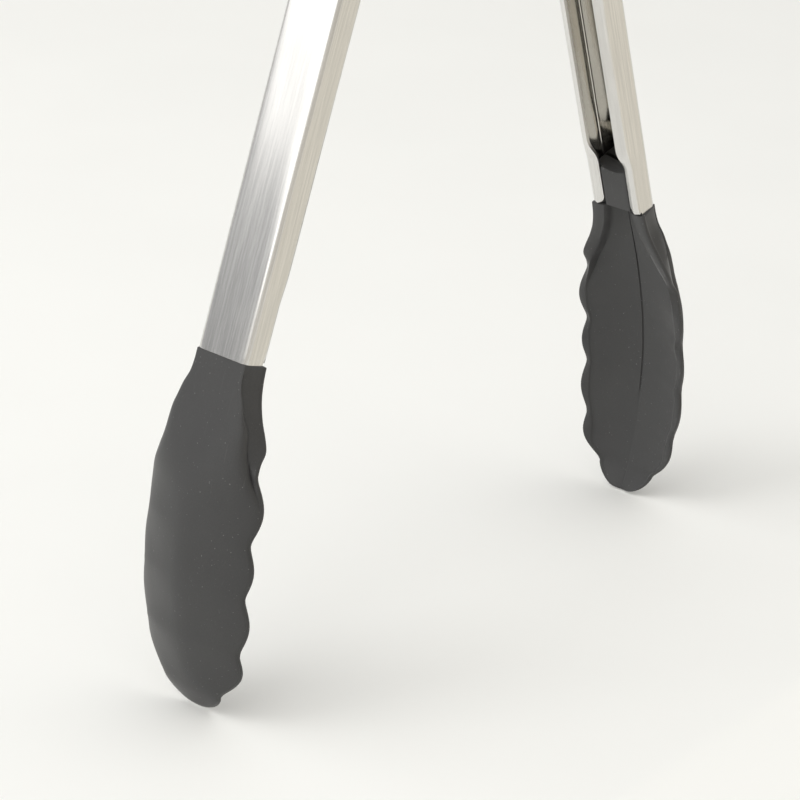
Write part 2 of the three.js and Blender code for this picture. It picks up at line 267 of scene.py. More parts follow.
def bridge_rings(count, rings, wrapped=False):
    """Quads between neighbouring rings of the same number of points."""
    faces = []
    for ring in range(rings if wrapped else rings - 1):
        here, there = ring * count, (ring + 1) % rings * count
        for i in range(count):
            j = (i + 1) % count
            faces.append((here + i, here + j, there + j, there + i))
    return faces


def tube_faces(count, rings):
    """Quads along a row of closed rings, with a face over each end."""
    last = (rings - 1) * count
    return bridge_rings(count, rings) + [tuple(range(count)), tuple(last + i for i in reversed(range(count)))]


def turned(name, profile, material, centre=PIN, sides=64):
    """Turn a closed profile of (radius, along Y) points about Y."""
    points = []
    for i in range(sides):
        angle = 2 * math.pi * i / sides
        points += [(radius * math.cos(angle), along, radius * math.sin(angle)) for radius, along in profile]
    faces = bridge_rings(len(profile), sides, wrapped=True)
    mesh = new_mesh(name, points, faces, [material], smooth_angle=30)
    return place_piece(name, mesh, Matrix.Translation(centre))


def arc(centre, radius, start, end, count):
    """Points on an arc, with the angles in degrees."""
    x, y = centre
    angles = [math.radians(angle) for angle in steps(start, end, count)]
    return [(x + radius * math.cos(angle), y + radius * math.sin(angle)) for angle in angles]


def fill_outline(outline, holes, inside_points):
    """Triangles filling an outline with holes, through some points inside it."""
    loops = [outline, *holes]
    points = [Vector(point) for loop in loops for point in loop]
    edges = []
    first = 0
    for loop in loops:
        edges += [(first + i, first + (i + 1) % len(loop)) for i in range(len(loop))]
        first += len(loop)
    border = [tuple(point) for point in points]
    for point in inside_points:
        clear = all(math.dist(point, other) > POINT_SPACING for other in border)
        if clear and is_inside(point, outline) and not any(is_inside(point, hole) for hole in holes):
            points.append(Vector(point))
    made, _, faces, *_ = delaunay_2d_cdt(points, edges, [], 0, 1e-5)
    kept = []
    for face in faces:
        centre = sum((made[i] for i in face), Vector((0, 0))) / len(face)
        if is_inside(centre, outline) and not any(is_inside(centre, hole) for hole in holes):
            kept.append(tuple(face))
    return [tuple(point) for point in made], kept


def is_inside(point, loop):
    """Whether a flat point is inside a closed loop."""
    x, y = point
    inside = False
    for i, (x1, y1) in enumerate(loop):
        x0, y0 = loop[i - 1]
        if (y0 > y) != (y1 > y) and x < (x1 - x0) * (y - y0) / (y1 - y0) + x0:
            inside = not inside
    return inside


# Materials

GRAIN_HEIGHT = 0.00002
TEXTURE_HEIGHT = 0.00006


class Nodes:
    """A short way to write a material's nodes."""

    def __init__(self, name):
        self.material = bpy.data.materials.new(name)
        self.material.use_nodes = True
        self.tree = self.material.node_tree
        self.shader = self.tree.nodes["Principled BSDF"]
        self.place = self.add("ShaderNodeAttribute", attribute_name="place").outputs["Vector"]

    def add(self, kind, **settings):
        node = self.tree.nodes.new(kind)
        for key, value in settings.items():
            setattr(node, key, value)
        return node

    def link(self, output, target):
        self.tree.links.new(output, target)

    def feed(self, output, name):
        """Link an output to one of the shader's own inputs."""
        self.link(output, self.shader.inputs[name])

    def set(self, **values):
        for name, value in values.items():
            self.shader.inputs[name.replace("_", " ")].default_value = value

    def noise(self, stretch, detail=3.0, roughness=0.55):
        """Noise with a number of features per metre along each axis."""
        mapping = self.add("ShaderNodeMapping")
        mapping.inputs["Scale"].default_value = stretch
        noise = self.add("ShaderNodeTexNoise")
        noise.inputs["Scale"].default_value = 1.0
        noise.inputs["Detail"].default_value = detail
        noise.inputs["Roughness"].default_value = roughness
        self.link(self.place, mapping.inputs["Vector"])
        self.link(mapping.outputs["Vector"], noise.inputs["Vector"])
        return noise.outputs["Fac"]

    def ramp(self, value, low, high, start, end):
        """Turn the part of value from start to end into low to high."""
        node = self.add("ShaderNodeMapRange")
        node.interpolation_type = "SMOOTHSTEP"
        node.inputs["From Min"].default_value = start
        node.inputs["From Max"].default_value = end
        node.inputs["To Min"].default_value = low
        node.inputs["To Max"].default_value = high
        self.link(value, node.inputs["Value"])
        return node.outputs["Result"]

    def colours(self, value, stops):
        node = self.add("ShaderNodeValToRGB")
        elements = node.color_ramp.elements
        while len(elements) < len(stops):
            elements.new(0.5)
        for element, (position, colour) in zip(elements, stops):
            element.position = position
            element.color = (*colour, 1)
        self.link(value, node.inputs["Fac"])
        return node.outputs["Color"]

    def mix(self, factor, first, second):
        """Mix two colours, each given as numbers or as another node's output."""
        node = self.add("ShaderNodeMix", data_type="RGBA")
        for socket, value in (("Factor", factor), ("A", first), ("B", second)):
            target = next(s for s in node.inputs if s.name == socket and s.enabled)
            if isinstance(value, bpy.types.NodeSocket):
                self.link(value, target)
            else:
                target.default_value = value if socket == "Factor" else (*value, 1)
        return next(s for s in node.outputs if s.enabled)

    def maths(self, operation, first, second):
        node = self.add("ShaderNodeMath", operation=operation)
        for target, value in zip(node.inputs, (first, second)):
            if isinstance(value, bpy.types.NodeSocket):
                self.link(value, target)
            else:
                target.default_value = value
        return node.outputs["Value"]

    def bump(self, height, strength, distance, normal=None):
        node = self.add("ShaderNodeBump")
        node.inputs["Strength"].default_value = strength
        node.inputs["Distance"].default_value = distance
        self.link(height, node.inputs["Height"])
        if normal:
            self.link(normal, node.inputs["Normal"])
        return node.outputs["Normal"]


def brushed_steel(name, colour, roughness, grain, bump, anisotropy):
    """Stainless sheet with fine lines along the arm, faint smudges and a few scratches."""
    m = Nodes(name)
    lines = m.noise((2600, 2600, 45), detail=4, roughness=0.65)
    wide_lines = m.noise((420, 420, 11), detail=2)
    smudges = m.noise((60, 60, 34), detail=3)
    scratch_field = m.noise((900, 900, 60), detail=0)
    scratches = m.ramp(scratch_field, 0, 1, 0.8, 0.86)
    tone = m.mix(m.ramp(lines, 0, 1, 0.3, 0.7), [c * (1 - grain) for c in colour], colour)
    tone = m.mix(m.ramp(wide_lines, 0, 0.3, 0.35, 0.7), tone, [c * 0.93 for c in colour])
    tone = m.mix(m.ramp(smudges, 0, 0.5, 0.5, 0.8), tone, [c * 0.9 for c in colour])
    m.feed(tone, "Base Color")
    rough = m.maths("ADD", m.ramp(lines, roughness * 0.9, roughness * 1.12, 0.3, 0.7),
                    m.ramp(smudges, 0, 0.07, 0.5, 0.75))
    m.feed(m.maths("ADD", rough, m.maths("MULTIPLY", scratches, 0.08)), "Roughness")
    normal = m.bump(lines, bump, GRAIN_HEIGHT)
    m.feed(m.bump(scratch_field, bump * 0.3, GRAIN_HEIGHT, normal), "Normal")
    tangent = m.add("ShaderNodeTangent", direction_type="UV_MAP", uv_map="grain")
    m.feed(tangent.outputs["Tangent"], "Tangent")
    m.set(Metallic=1.0, Anisotropic=anisotropy)
    return m.material


def polished_metal(name, colour, roughness, wear):
    """Bright drawn or turned metal with soft wear marks."""
    m = Nodes(name)
    fine = m.noise((1500, 1500, 1500), detail=4)
    wear_field = m.noise((260, 260, 260), detail=3)
    m.feed(m.mix(m.ramp(wear_field, 0, wear, 0.45, 0.75), colour, [c * 0.72 for c in colour]), "Base Color")
    m.feed(m.maths("ADD", m.ramp(wear_field, roughness * 0.8, roughness * 1.5, 0.35, 0.75),
                   m.ramp(fine, 0, 0.04, 0.4, 0.7)), "Roughness")
    m.feed(m.bump(fine, 0.12, GRAIN_HEIGHT), "Normal")
    m.set(Metallic=1.0)
    return m.material


def moulded_nylon(name):
    """Dark grey nylon with a fine mould texture, faint scuffs and light dust."""
    m = Nodes(name)
    grain = m.noise((2800, 2800, 2800), detail=3, roughness=0.6)
    cloud = m.noise((70, 70, 45), detail=3)
    scuffs = m.ramp(m.noise((1300, 1300, 90), detail=2), 0, 1, 0.66, 0.8)
    dust = m.ramp(m.noise((2300, 2300, 2300), detail=0), 0, 1, 0.815, 0.85)
    tone = m.colours(cloud, [(0.3, (0.035, 0.035, 0.036)), (0.7, (0.046, 0.046, 0.046))])
    tone = m.mix(m.ramp(grain, 0, 0.4, 0.35, 0.7), tone, (0.029, 0.029, 0.030))
    tone = m.mix(m.maths("MULTIPLY", scuffs, 0.25), tone, (0.08, 0.079, 0.077))
    m.feed(m.mix(m.maths("MULTIPLY", dust, 0.4), tone, (0.26, 0.255, 0.25)), "Base Color")
    rough = m.maths("SUBTRACT", m.ramp(cloud, 0.5, 0.6, 0.3, 0.7), m.maths("MULTIPLY", scuffs, 0.1))
    m.feed(rough, "Roughness")
    m.feed(m.bump(grain, 0.28, TEXTURE_HEIGHT), "Normal")
    m.set(Specular_IOR_Level=0.5, Sheen_Weight=0.24, Sheen_Roughness=0.35)
    return m.material


STEEL_OUTSIDE = brushed_steel("steel_outside", (0.8, 0.79, 0.77), 0.17, 0.16, 0.09, 1.0)
STEEL_INSIDE = brushed_steel("steel_inside", (0.66, 0.645, 0.61), 0.1, 0.06, 0.06, 0.2)
STEEL_EDGE = brushed_steel("steel_cut_edge", (0.7, 0.69, 0.67), 0.35, 0.1, 0.2, 0.0)
NYLON = moulded_nylon("black_nylon")
RIVET_METAL = polished_metal("rivet_metal", (0.78, 0.78, 0.77), 0.16, 0.5)
SPRING_METAL = polished_metal("spring_metal", (0.62, 0.61, 0.59), 0.24, 0.8)
STRAP_METAL = brushed_steel("strap_metal", (0.79, 0.785, 0.77), 0.25, 0.12, 0.3, 0.3)


# Folded steel arm

def lip_angle(down):
    """How far the lip is folded in: hardly beside the pivot, and furthest over the head's tang."""
    folding = smoothstep(down, LIP_START, LIP_FULL)
    crimping = smoothstep(down, CRIMP_START, CRIMP_FULL)
    return math.radians(1 + 64 * folding + 51 * crimping)


def lip_bend(down):
    """The lip's bend at this place: its angle, radius and the length that it takes from each side."""
    angle = lip_angle(down)
    radius = LIP_BEND_LENGTH / angle
    return angle, radius, radius * math.tan(angle / 2)


CORNER_START = WALL_ACROSS - BEND_RADIUS
CORNER_END = CORNER_START + BEND_RADIUS * math.pi / 2
CORNER_OUT = WEB_OUT - BEND_RADIUS
EAR_FLAT = CORNER_END + CORNER_OUT


def lip_edge(down):
    """How far the blank reaches from the web's middle where it ends in the lip."""
    return CORNER_END + CORNER_OUT - FOLD_OUT + LIP_BEND_LENGTH + LIP_LENGTH - 2 * lip_bend(down)[2]


def fold(across, down, ear_offset):
    """Where a point of the flat blank lies on the folded arm."""
    side = math.copysign(1, across)
    c = abs(across)
    if c <= CORNER_START:
        return (WEB_OUT, across, -down)
    if c <= CORNER_END:
        angle = (c - CORNER_START) / BEND_RADIUS
        return (CORNER_OUT + BEND_RADIUS * math.cos(angle),
                side * (CORNER_START + BEND_RADIUS * math.sin(angle)), -down)
    angle, radius, taken = lip_bend(down)
    bend_start = CORNER_END + CORNER_OUT - FOLD_OUT - taken
    if c <= bend_start:
        out, y = CORNER_OUT - (c - CORNER_END), WALL_ACROSS
    else:
        turn = min(angle, (c - bend_start) / radius)
        rest = max(0.0, c - bend_start - LIP_BEND_LENGTH)
        out = FOLD_OUT + taken - radius * math.sin(turn) - rest * math.cos(angle)
        y = WALL_ACROSS - radius * (1 - math.cos(turn)) - rest * math.sin(angle)
    # One ear is set inwards so that the two arms' ears can cross.
    joggle = ear_offset * (1 - smoothstep(down, 36, 43)) * (1 - smoothstep(out, 7.6, 9.2))
    return (out, side * (y - joggle), -down)


def ear_outline():
    """Half of the blank's outline, from the top of the web round the ear to the lip's end."""
    def notch_side(down, side):
        return -down * math.tan(CLOSED_ANGLE) + side * NOTCH_HALF

    top = arc((0, 0), EAR_RADIUS, 90, 180, 14)
    finger = [(FINGER_OUT + 0.1, -FINGER_END + 2)]
    finger += arc((FINGER_OUT + 1.2, -FINGER_END + 1.2), 1.2, 185, 265, 5)
    tip_side = arc((notch_side(FINGER_END, -1) - 0.6, -FINGER_END + 0.6), 0.6, -85, -5, 3)
    notch = arc((notch_side(NOTCH_TOP, 0), -NOTCH_TOP), NOTCH_HALF, 180, 0, 10)
    ear = [(8.0, -ARM_TOP), (4.0, -ARM_TOP), *top, *finger, *tip_side, *notch]
    ear += [(lerp(notch_side(NOTCH_TOP, 1), 2.1, x), -lerp(NOTCH_TOP, LIP_START - 1, x))
            for x in (0.2, 0.4, 0.6, 0.8)]
    half = [(EAR_FLAT - out, -z) for out, z in ear]
    lip = steps(LIP_START - 1, LIP_FULL, 12) + steps(64, 184, 30) + steps(CRIMP_START, CRIMP_FULL, 10)
    lip += [200.5, 204.0]
    half += [(lip_edge(down), down) for down in lip]
    edge = lip_edge(ARM_END)
    half += arc((edge - LIP_CORNER, ARM_END - 0.8 - LIP_CORNER), LIP_CORNER, 0, 90, 6)
    # A small nick in the end, between the lip and the wall.
    half += [(13.15, ARM_END - 0.85), (12.95, ARM_END - 1.3), (12.75, ARM_END - 0.3), (12.5, ARM_END)]
    return half


def pin_hole():
    """The pin's hole in one ear of the flat blank."""
    return [(EAR_FLAT - out, -z) for out, z in arc((0, 0), PIN_HOLE_RADIUS, 0, 345, 23)]


def arm_mesh():
    """One arm: its flat blank cut out, folded up and given the sheet's thickness."""
    half = ear_outline()
    web_end = [(x, ARM_END) for x in (8.2, 7.4, 6.5, 4.4, 2.2)]
    outline = half + web_end + [(-x, down) for x, down in reversed(half + web_end)]
    hole = pin_hole()
    holes = [hole, [(-x, down) for x, down in reversed(hole)]]
    # Lines down the blank and rows across it, closer together where it bends.
    lines = [0, 2.2, 4.4, *steps(CORNER_START, CORNER_END, 4), 9.3, 10.4, 11.4, *steps(11.9, 14.5, 9)]
    lines += [15.2, 15.9, 16.6, 18, 19.4, 20.8, 22.2, 23.6]
    rows = steps(ARM_TOP + 1, 64, 44) + steps(68, 184, 29) + steps(186, 209.6, 20)
    inside = [(side * x, down) for down in rows for x in lines for side in (-1, 1) if x or side > 0]
    points, faces = fill_outline(outline, holes, inside)
    folded = [fold(x, down, 0 if x > 0 else EAR_OFFSET) for x, down in points]
    mesh = new_mesh("folded_arm", folded, faces, [STEEL_OUTSIDE, STEEL_INSIDE, STEEL_EDGE])
    web = [face for face in mesh.polygons if face.center.x > (WEB_OUT - 0.1) * MM]
    if sum(face.normal.x for face in web) < 0:
        mesh.flip_normals()
    return thicken_sheet(mesh, SHEET, 0.14, 2, inside_material=1, edge_material=2)


# Moulded head

def scallop(x):
    """A scallop's outline from valley to valley: 0 at both ends, 1 halfway and soft in the valleys."""
    depth = math.hypot(1, SOFT_VALLEY) - SOFT_VALLEY
    return (math.hypot(math.sin(math.pi * x), SOFT_VALLEY) - SOFT_VALLEY) / depth


def head_edge(down):
    """Half width and height of the blade's edge, and how far it stands out in a scallop there."""
    start, width, height = VALLEYS[-1]
    if down <= VALLEYS[0][0]:
        return interpolate(NECK, down), interpolate(NECK_RIM, down), 0.0
    if down >= start:
        x = (down - start) / (HEAD_TIP - start)
        return width * max(0.0, 1 - x ** TIP_FULLNESS) ** 0.5, lerp(height, TIP_OUT, x), 0.0
    index = next(i for i, valley in enumerate(VALLEYS) if valley[0] > down) - 1
    (start, width, height), (end, end_width, end_height) = VALLEYS[index], VALLEYS[index + 1]
    wider, lower = SCALLOPS[index]
    x = (down - start) / (end - start)
    wave = wider * scallop(x)
    return lerp(width, end_width, x) + wave, lerp(height, end_height, x) - lower * scallop(x), wave


def head_half_section(down):
    """Half of the head's section as (out, across), from the dish's centre round to the crown."""
    half, rim, wave = head_edge(down)
    rim += LIP_PLANE
    dish, crown = (LIP_PLANE + interpolate(table, down) for table in (DISH, CROWN))
    edge = min(FLANGE, 0.3 * (crown - rim))

    # Down the blade the body widens to the edge, and takes its scallops over as flutes that fade.
    rounded = smoothstep(down, BLADE_START, 36)
    flute = wave * rounded
    body = lerp(interpolate(BODY_ACROSS, down), half - flute - 0.2, rounded)
    body_out = lerp(LIP_PLANE + interpolate(BODY_OUT, down), rim + edge + 0.3, rounded)
    shoulder = body + flute

    # The dish has a deep flank along the neck and a small step along the blade.
    crest = min(interpolate(CREST_ACROSS, down), half * 0.9)
    crest_out = lerp(LIP_PLANE + interpolate(CREST_OUT, down), rim, smoothstep(down, 76, BLADE_END))
    blade = smoothstep(down, BLADE_START, 32)
    depth = dish - crest_out
    wall = lerp(0.62, min(0.4, STEP / max(depth, 0.1)), blade)
    foot = crest - min(lerp(1.5, 0.55, blade), crest * 0.3)
    cut = SEAM_DEPTH * smoothstep(down, 0, 4) * (1 - smoothstep(down, 60, 68))
    seam = [(dish + 0.06 + cut, 0.0), (dish + 0.06 + cut * 0.9, min(0.14, foot * 0.02)),
            (dish + 0.03, 0.34 * foot / 14)]
    floor = [(crest_out + depth * lerp(wall, 1, 1 - x ** 1.6), foot * x)
             for x in (0.06, 0.25, 0.5, 0.75, 0.93)]
    flank = [(crest_out + depth * wall * (1 - smoothstep(x, 0, 1.06)), lerp(foot, crest, x))
             for x in (0.15, 0.35, 0.55, 0.8)]

    # The edge: its flat top, its side, and the way under it to the crease with the body.
    roll = min(0.45, half * 0.2)
    top = [(crest_out, crest + 0.05), (lerp(crest_out, rim, 0.5), lerp(crest, half - roll, 0.5)),
           (rim + 0.02, half - roll), (rim + 0.12, half - roll * 0.4), (rim + 0.4 * edge, half)]
    side = [(rim + 0.85 * edge, half - 0.03), (rim + edge, half - 0.16), (rim + edge + 0.14, half - 0.2)]
    under = [(lerp(rim + edge + 0.14, body_out, x), lerp(half - 0.1, shoulder + 0.1, x ** 0.8))
             for x in (0.12, 0.5, 0.9)]
    groove = GROOVE_DEPTH * (1 - smoothstep(down, BLADE_START, 34)) * smoothstep(down, 0, 3)
    crease = [(body_out, shoulder - groove)]

    power = interpolate(ROUNDING, down)
    dome = []
    for angle in (6, 12, 20, 30, 40, 50, 60, 70, 80):
        share = math.cos(math.radians(angle))
        lift = (1 - share ** power) ** (1 / power)
        dome.append((lerp(body_out + 0.1, crown, lift), (body + flute * (1 - lift) ** 1.5) * share))

    section = seam + floor + flank + top + side + under + crease + dome + [(crown, 0.0)]
    round_start = HEAD_TIP - TIP_ROUNDING
    if down <= round_start:
        return section
    middle = (rim + crown) / 2
    shrink = math.sqrt(max(0.0, 1 - smoothstep(down, round_start, HEAD_TIP) ** 2))
    return [(lerp(middle, out, shrink), y) for out, y in section]


def mirrored(half):
    """A closed section from its half, which starts and ends on the middle line."""
    return half + [(out, -y) for out, y in reversed(half[1:-1])]


def tang_half_section(count):
    """Half of the tang's section, with as many points as the head's."""
    corners = [(5.65, 0), (5.65, 3.9), (5.75, 4.15), (6.6, 4.25), (6.7, 4.9), (5.8, 6.8), (5.9, 6.9),
               (10.2, 6.9), (10.75, 6.7), (10.9, 6.2), (10.9, 0)]
    lengths = [0.0]
    for a, b in zip(corners, corners[1:]):
        lengths.append(lengths[-1] + math.dist(a, b))
    spare = count - len(corners)
    shares = [lengths[-1] * (i + 1) / (spare + 1) for i in range(spare)]
    points = []
    for at in sorted(lengths + shares):
        i = next(i for i in range(len(lengths) - 1) if at <= lengths[i + 1] + 1e-9)
        x = (at - lengths[i]) / (lengths[i + 1] - lengths[i])
        points.append(tuple(lerp(a, b, x) for a, b in zip(corners[i], corners[i + 1])))
    return points


def head_mesh():
    """One head: the tang, the shoulder under the steel's end and the dished, scalloped blade."""
    bounds = [0.0] + [valley[0] for valley in VALLEYS]
    blade = []
    for start, end in zip(bounds, bounds[1:]):
        blade += steps(start, end, max(8, round((end - start) / 0.9)))[:-1]
    blade[1:1] = [0.12, 0.4]
    tip = [lerp(bounds[-1], HEAD_TIP - 0.02, math.sin(x * math.pi / 2)) for x in steps(0, 1, 12)]
    sections = [(down, mirrored(head_half_section(down))) for down in blade + tip]
    count = len(sections[0][1])
    tang = mirrored(tang_half_section(count // 2 + 1))
    inner_end, outer_end = ([(lerp(8.5, out, share), y * share) for out, y in tang] for share in (0.55, 0.9))
    rings = [(-TANG_LENGTH - 0.2, inner_end), (-TANG_LENGTH - 0.1, outer_end), (-TANG_LENGTH + 0.5, tang)]
    rings += [(-6, tang), (-0.35, tang)]
    rings += [(-0.12, [(lerp(out, 8, 0.03), y * 0.985) for out, y in sections[0][1]])]
    rings += sections
    points = []
    for down, ring in rings:
        for out, y in ring:
            hollow = max(0, 1 - (y / 4.5) ** 2) if down < -TANG_LENGTH + 1 else 0
            points.append((out, y, -(HEAD_START + down + hollow)))
    return new_mesh("moulded_head", points, tube_faces(count, len(rings)), [NYLON], smooth_angle=38)


arm_shape = arm_mesh()
head_shape = head_mesh()
for label, side in (("left", -1), ("right", 1)):
    arm = place_piece(f"{label}_steel_arm", arm_shape.copy(), arm_frame(side))
    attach(arm, f"{label}_side")
    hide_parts(f"{label}_arm")
    head = place_piece(f"{label}_nylon_head", head_shape.copy(), arm_frame(side))
    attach(head, f"{label}_side")
    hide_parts(f"{label}_head")


# Pivot

def rivet():
    """A domed head at -Y, the shank, and a tail spread over the washer at +Y."""
    head = [(0, 1.28), (0.9, 1.27), (1.9, 1.14), (2.8, 0.9), (3.4, 0.62), (3.8, 0.36), (3.9, 0.16),
            (3.84, 0.02), (2.3, 0), (PIN_RADIUS, -0.3)]
    tail = [(PIN_RADIUS, 0), (2.85, 0.04), (3, 0.2), (2.9, 0.5), (2.5, 0.72), (1.9, 0.8), (1.3, 0.66),
            (0.8, 0.5), (0, 0.44)]
    profile = [(radius, -FACE - height) for radius, height in head]
    profile += [(radius, FACE + WASHER + BORE_GAP + height) for radius, height in tail]
    return turned("rivet_body", profile, RIVET_METAL)


def washer():
    """A plain ring with soft corners, under the rivet's tail."""
    inside, outside, low, high = PIN_RADIUS + BORE_GAP, 4.3, FACE, FACE + WASHER
    profile = [(inside, low + 0.12), (inside + 0.12, low), (outside - 0.25, low), (outside, low + 0.22),
               (outside, high - 0.28), (outside - 0.3, high), (inside + 0.18, high), (inside, high - 0.16)]
    return turned("rivet_washer_ring", profile, RIVET_METAL)


def sleeve():
    """A chamfered tube on the rivet, for the spring's coil to sit on."""
    inside, outside, half, chamfer = PIN_RADIUS + BORE_GAP, SLEEVE_RADIUS, SLEEVE_HALF, 0.15
    end = [(outside, half - chamfer), (outside - chamfer, half), (inside + chamfer, half),
           (inside, half - chamfer)]
    profile = [(radius, -along) for radius, along in reversed(end)] + end
    return turned("spring_sleeve_tube", profile, STRAP_METAL)


for piece, node in ((rivet(), "pivot_rivet"), (washer(), "rivet_washer"), (sleeve(), "spring_sleeve")):
    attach(piece, "pivot")
    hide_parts(node)


# Torsion spring

def spring_path():
    """Middle line of half the spring, from the coil's middle out along the leg to the right arm."""
    def in_world(out, down):
        return Vector((out * math.cos(OPEN_ANGLE) + down * math.sin(OPEN_ANGLE), 0,
                       out * math.sin(OPEN_ANGLE) - down * math.cos(OPEN_ANGLE)))

    contact, end = in_world(SPRING_OUT, SPRING_CONTACT), in_world(SPRING_OUT, SPRING_END)
    leaving = math.atan2(contact.z, contact.x) + math.acos(COIL_RADIUS / contact.length)
    sweep = 2 * math.pi * COIL_TURNS + math.pi - 2 * leaving
    path = []
    for x in steps(0.5, 1, 60):
        angle = math.pi - leaving - x * sweep
        along = lerp(-COIL_HALF, COIL_HALF, x)
        path.append(Vector((COIL_RADIUS * math.cos(angle), along, COIL_RADIUS * math.sin(angle))))
    start = path[-1].copy()
    lift = Vector((0, COIL_HALF, 0))
    knee = contact + lift
    leg = [start.lerp(knee, x) for x in (0.08, 0.2, 0.35, 0.5, 0.65, 0.8, 0.92, 0.97)]
    foot = [knee.lerp(end + lift, x) for x in (0.06, 0.14, 0.3, 0.5, 0.7, 0.9, 0.97, 1)]
    return path + leg + foot


def wire(name, path, radius, material, sides=14):
    """A round wire along a path, with a rounded end."""
    across = None
    points = []
    for i, here in enumerate(path):
        along = (path[min(i + 1, len(path) - 1)] - path[max(i - 1, 0)]).normalized()
        if across is None:
            across = along.orthogonal().normalized()
        across = (across - along * across.dot(along)).normalized()
        other = along.cross(across)
        left = len(path) - 1 - i
        scale = (0.45, 0.8, 0.95)[left] if left < 3 else 1
        for j in range(sides):
            angle = 2 * math.pi * j / sides
            points.append(here + (across * math.cos(angle) + other * math.sin(angle)) * radius * scale)
    mesh = new_mesh(name, points, tube_faces(sides, len(path)), [material], smooth_angle=50)
    return place_piece(name, mesh, Matrix.Translation(PIN))


right_path = spring_path()
left_path = [Vector((-point.x, -point.y, point.z)) for point in right_path]
for label, path, end in (("left", left_path, -COIL_HALF), ("right", right_path, COIL_HALF)):
    half_spring = wire(f"spring_{label}_half", path, WIRE_RADIUS, SPRING_METAL)
    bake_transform(half_spring)
    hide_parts("torsion_spring")


# Pull strap and lock bar

def strap():
    """A strip bent into a loop, with a slot for the pin and a hole for the lock bar in each leg."""
    half = STRAP_WIDTH / 2
    leg = STRAP_SHOULDER - STRAP_BOTTOM
    loop = math.pi * STRAP_MIDDLE
    length = 2 * leg + loop
    corner = 1.5
    outline = arc((-half + corner, corner), corner, 180, 270, 5)
    outline += arc((half - corner, corner), corner, 270, 360, 5)
    outline += [(half, x) for x in steps(6, length - 6, 60)]
    outline += arc((half - corner, length - corner), corner, 0, 90, 5)
    outline += arc((-half + corner, length - corner), corner, 90, 180, 5)
    outline += [(-half, x) for x in steps(length - 6, 6, 60)]
    pin_place = -STRAP_BOTTOM
    slot_radius = PIN_RADIUS + BORE_GAP
    slot = arc((0, pin_place), slot_radius, 0, 180, 12)
    slot += arc((0, pin_place - LOCK_TRAVEL), slot_radius, 180, 360, 12)
    bar = arc((0, pin_place - LOCK_BAR_DROP), LOCK_BAR_RADIUS + 0.15, 0, 345, 23)
    holes = [slot, bar] + [[(x, length - z) for x, z in hole] for hole in (slot, bar)]
    inside = [(x, z) for z in steps(1.2, length - 1.2, 76) for x in (-3.2, -2.4, -1.2, 0, 1.2, 2.4, 3.2)]
    flat, faces = fill_outline(outline, holes, inside)
    points = []
    for x, along in flat:
        if along < leg:
            points.append((x, -STRAP_MIDDLE, STRAP_BOTTOM + along))
        elif along > leg + loop:
            points.append((x, STRAP_MIDDLE, STRAP_BOTTOM + length - along))
        else:
            angle = (along - leg) / STRAP_MIDDLE
            height = STRAP_SHOULDER + STRAP_MIDDLE * math.sin(angle)
            points.append((x, -STRAP_MIDDLE * math.cos(angle), height))
    mesh = thicken_sheet(new_mesh("strap_loop", points, faces, [STRAP_METAL]), 0.78, 0.2, 3)
    return place_piece("strap_loop", mesh, Matrix.Translation(PIN))


def lock_bar():
    """A round bar with chamfered ends and a shallow groove for each leg of the strap."""
    grooved = LOCK_BAR_RADIUS - 0.08
    end = [(LOCK_BAR_RADIUS, 4.6), (grooved, 4.75), (grooved, 6.05), (LOCK_BAR_RADIUS, 6.2),
           (LOCK_BAR_RADIUS, LOCK_BAR_HALF - 0.4), (1.3, LOCK_BAR_HALF - 0.12), (1.0, LOCK_BAR_HALF),
           (0, LOCK_BAR_HALF)]
    profile = [(radius, -along) for radius, along in reversed(end)] + end
    return turned("lock_bar_rod", profile, RIVET_METAL, PIN - Vector((0, 0, LOCK_BAR_DROP * MM)))


for piece, node, slot in ((strap(), "pull_strap", "strap_steel"), (lock_bar(), "lock_bar", "rivet_steel")):
    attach(piece, "lock_slider")
    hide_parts(node)


# Floor, lights and camera

def stage_material(name, colour, roughness=0.7):
    """A matt surface with a very faint cloudiness."""
    m = Nodes(name)
    faint = m.noise((9, 9, 9), detail=2)
    m.feed(m.mix(m.ramp(faint, 0, 1, 0.3, 0.7), colour, [c * 0.985 for c in colour]), "Base Color")
    m.feed(m.ramp(faint, roughness * 0.97, roughness, 0.3, 0.7), "Roughness")
    return m.material


def card_material(name, middle, reach, stops):
    """A card for the steel to reflect, glowing dimly and changing away from a point of its own plane."""
    m = Nodes(name)
    away = m.add("ShaderNodeVectorMath", operation="DISTANCE")
    away.inputs[1].default_value = middle
    m.link(m.place, away.inputs[0])
    m.feed(m.colours(m.ramp(away.outputs["Value"], 0, 1, 0, reach), stops), "Emission Color")
    m.set(Emission_Strength=1.0, Roughness=1.0, Base_Color=(0, 0, 0, 1))
    return m.material


def stage_plane(name, centre, normal, width, height, material):
    """A flat sheet of the stage, placed and sized in metres."""
    rotation = Vector(normal).to_track_quat("Z", "Y").to_matrix().to_4x4()
    w, h = width / 2 / MM, height / 2 / MM
    corners = [(-w, -h, 0), (w, -h, 0), (w, h, 0), (-w, h, 0)]
    mesh = new_mesh(name, corners, [(0, 1, 2, 3)], [material])
    plane = place_piece(name, mesh, Matrix.Translation(Vector(centre)) @ rotation)
    return plane


def area_light(name, place, target, width, height, strength, colour):
    """A rectangular light that the camera doesn't see, placed and sized in metres and watts."""
    light = bpy.data.lights.new(name, "AREA")
    light.shape = "RECTANGLE"
    light.size = width
    light.size_y = height
    light.energy = strength
    light.color = colour
    lamp = bpy.data.objects.new(name, light)
    bpy.context.scene.collection.objects.link(lamp)
    lamp.matrix_world = (Matrix.Translation(Vector(place))
                         @ (Vector(place) - Vector(target)).to_track_quat("Z", "Y").to_matrix().to_4x4())
    lamp.visible_camera = False
    return lamp


